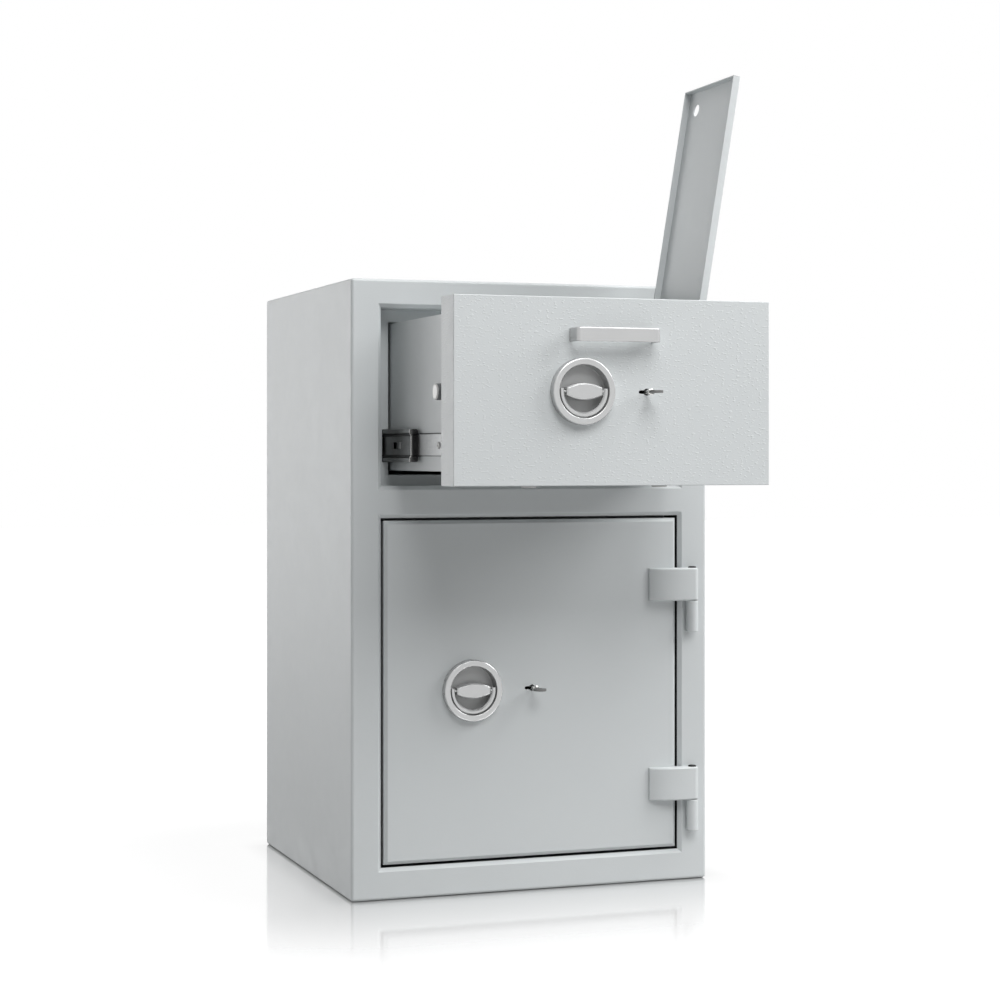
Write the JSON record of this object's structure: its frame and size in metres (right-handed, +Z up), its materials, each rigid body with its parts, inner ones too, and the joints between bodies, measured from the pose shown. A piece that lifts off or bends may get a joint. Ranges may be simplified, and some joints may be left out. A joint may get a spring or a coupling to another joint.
{
  "type": "drop safe with deposit drawer",
  "caption": "Floor-standing drop safe: a key-locked deposit drawer with a hinged lid and floor flaps above a hinged, key-locked door.",
  "frame": {"origin": "middle of the cabinet's underside, which stands on the floor", "axes": "+X to the right as seen from the front, +Y towards the back, +Z up"},
  "size_m": [0.5, 0.762, 1.0556],
  "materials": {
    "paint": "light grey fine-textured powder coat",
    "zinc_steel": "bright zinc-plated",
    "satin_metal": "satin",
    "key_steel": "bright nickel-plated",
    "dark_steel": "oiled dark",
    "black_plastic": "matte"
  },
  "bodies": {
    "cabinet": {"outer_casing": "paint", "front_frame": "paint", "bay_floor": "paint", "drop_baffle": "paint", "slide_bracket_left": "zinc_steel", "slide_bracket_right": "zinc_steel", "slide_outer_left": "zinc_steel", "slide_outer_right": "zinc_steel", "upper_hinge_knuckle": "paint", "upper_hinge_pin": "dark_steel", "lower_hinge_knuckle": "paint", "lower_hinge_pin": "dark_steel"},
    "left_middle_member": {"slide_middle_left": "zinc_steel", "slide_retainer_left": "black_plastic"},
    "right_middle_member": {"slide_middle_right": "zinc_steel", "slide_retainer_right": "black_plastic"},
    "drawer": {"drawer_front": "paint", "drawer_liner": "paint", "drawer_shell": "paint", "well_front_wall": "paint", "well_back_wall": "paint", "drawer_top_plate": "paint", "slide_inner_left": "zinc_steel", "slide_inner_right": "zinc_steel", "pull_handle": "satin_metal", "drawer_rose": "satin_metal", "drawer_lock_case": "dark_steel", "lid_hinge_leaf": "zinc_steel", "lid_hinge_pin": "zinc_steel"},
    "lid": {"drawer_lid": "paint"},
    "front_flap": {"drop_flap_front": "zinc_steel"},
    "back_flap": {"drop_flap_back": "zinc_steel"},
    "drawer_knob": {"drawer_grip": "satin_metal", "drawer_cam_spindle": "dark_steel"},
    "drawer_handle_bail": {"drawer_bail": "satin_metal"},
    "drawer_turning_key": {"drawer_key": "key_steel"},
    "drawer_dead_bolt": {"drawer_lock_bolt": "key_steel"},
    "left_boltwork": {"left_bolt": "key_steel", "left_bolt_bar": "dark_steel"},
    "right_boltwork": {"right_bolt": "key_steel", "right_bolt_bar": "dark_steel"},
    "bottom_boltwork": {"bottom_bolt_left": "key_steel", "bottom_bolt_right": "key_steel", "bottom_bolt_bar": "dark_steel"},
    "door": {"door_front": "paint", "door_liner": "paint", "door_bolt_box": "paint", "door_hinge_dog": "dark_steel", "door_rose": "satin_metal", "door_lock_case": "dark_steel", "upper_hinge_strap": "paint", "lower_hinge_strap": "paint"},
    "door_knob": {"door_grip": "satin_metal", "door_cam_spindle": "dark_steel"},
    "door_handle_bail": {"door_bail": "satin_metal"},
    "door_turning_key": {"door_key": "key_steel"},
    "door_dead_bolt": {"door_lock_bolt": "key_steel"},
    "door_boltwork": {"door_upper_bolt": "key_steel", "door_lower_bolt": "key_steel", "door_bolt_bar": "dark_steel"}
  },
  "joints": [
    {"name": "drawer_slide", "type": "slide", "parent": "cabinet", "child": "drawer", "axis": [0, -1, 0], "range_m": [-0.038, 0.06]},
    {"name": "left_middle_slide", "type": "slide", "parent": "cabinet", "child": "left_middle_member", "axis": [0, -1, 0], "range_m": [-0.019, 0.03]},
    {"name": "right_middle_slide", "type": "slide", "parent": "cabinet", "child": "right_middle_member", "axis": [0, -1, 0], "range_m": [-0.019, 0.03]},
    {"name": "lid_hinge", "type": "hinge", "parent": "drawer", "child": "lid", "pos_m": [0.1551, -0.337, 0.7383], "axis": [0, 1, 0], "range_deg": [-99.4, 0]},
    {"name": "front_flap_hinge", "type": "hinge", "parent": "drawer", "child": "front_flap", "pos_m": [0, -0.404, 0.558], "axis": [-1, 0, 0], "range_deg": [0, 50], "stiffness_Nm_per_rad": 0.3, "springref_deg": -57.3},
    {"name": "back_flap_hinge", "type": "hinge", "parent": "drawer", "child": "back_flap", "pos_m": [0, -0.27, 0.558], "axis": [1, 0, 0], "range_deg": [0, 50], "stiffness_Nm_per_rad": 0.3, "springref_deg": -57.3},
    {"name": "drawer_knob_turn", "type": "hinge", "parent": "drawer", "child": "drawer_knob", "pos_m": [-0.044, -0.5, 0.649], "axis": [0, 1, 0], "range_deg": [0, 90]},
    {"name": "left_bolt_slide", "type": "slide", "parent": "drawer", "child": "left_boltwork", "axis": [1, 0, 0], "range_m": [0, 0.022]},
    {"name": "right_bolt_slide", "type": "slide", "parent": "drawer", "child": "right_boltwork", "axis": [-1, 0, 0], "range_m": [0, 0.022]},
    {"name": "bottom_bolt_slide", "type": "slide", "parent": "drawer", "child": "bottom_boltwork", "axis": [0, 0, 1], "range_m": [0, 0.022]},
    {"name": "drawer_bail_swing", "type": "hinge", "parent": "drawer_knob", "child": "drawer_handle_bail", "pos_m": [-0.044, -0.507, 0.649], "axis": [-1, 0, 0], "range_deg": [0, 90]},
    {"name": "drawer_key_turn", "type": "hinge", "parent": "drawer", "child": "drawer_turning_key", "pos_m": [0.041, -0.5, 0.649], "axis": [0, 1, 0], "range_deg": [-90, 0]},
    {"name": "drawer_dead_bolt_slide", "type": "slide", "parent": "drawer", "child": "drawer_dead_bolt", "axis": [0, 0, 1], "range_m": [-0.01, 0]},
    {"name": "door_hinge", "type": "hinge", "parent": "cabinet", "child": "door", "pos_m": [0.2255, -0.2333, 0.265], "axis": [0, 0, 1], "range_deg": [0, 170]},
    {"name": "door_knob_turn", "type": "hinge", "parent": "door", "child": "door_knob", "pos_m": [-0.087, -0.225, 0.26625], "axis": [0, 1, 0], "range_deg": [0, 90]},
    {"name": "door_bolt_slide", "type": "slide", "parent": "door", "child": "door_boltwork", "axis": [-1, 0, 0], "range_m": [0, 0.022]},
    {"name": "door_bail_swing", "type": "hinge", "parent": "door_knob", "child": "door_handle_bail", "pos_m": [-0.087, -0.232, 0.26625], "axis": [-1, 0, 0], "range_deg": [0, 90]},
    {"name": "door_key_turn", "type": "hinge", "parent": "door", "child": "door_turning_key", "pos_m": [-0.002, -0.225, 0.26625], "axis": [0, 1, 0], "range_deg": [-90, 0]},
    {"name": "door_dead_bolt_slide", "type": "slide", "parent": "door", "child": "door_dead_bolt", "axis": [0, 0, 1], "range_m": [-0.01, 0]}
  ],
  "couplings": [
    {"joint": "left_middle_slide", "follows": "drawer_slide", "ratio": 0.5},
    {"joint": "right_middle_slide", "follows": "drawer_slide", "ratio": 0.5},
    {"joint": "back_flap_hinge", "follows": "front_flap_hinge", "ratio": 1},
    {"joint": "left_bolt_slide", "follows": "bottom_bolt_slide", "ratio": 1},
    {"joint": "right_bolt_slide", "follows": "bottom_bolt_slide", "ratio": 1},
    {"joint": "drawer_knob_turn", "follows": "bottom_bolt_slide", "rad_per_m": 71.39},
    {"joint": "drawer_dead_bolt_slide", "follows": "drawer_key_turn", "m_per_rad": 0.00636},
    {"joint": "door_knob_turn", "follows": "door_bolt_slide", "rad_per_m": 71.39},
    {"joint": "door_dead_bolt_slide", "follows": "door_key_turn", "m_per_rad": 0.00636}
  ]
}
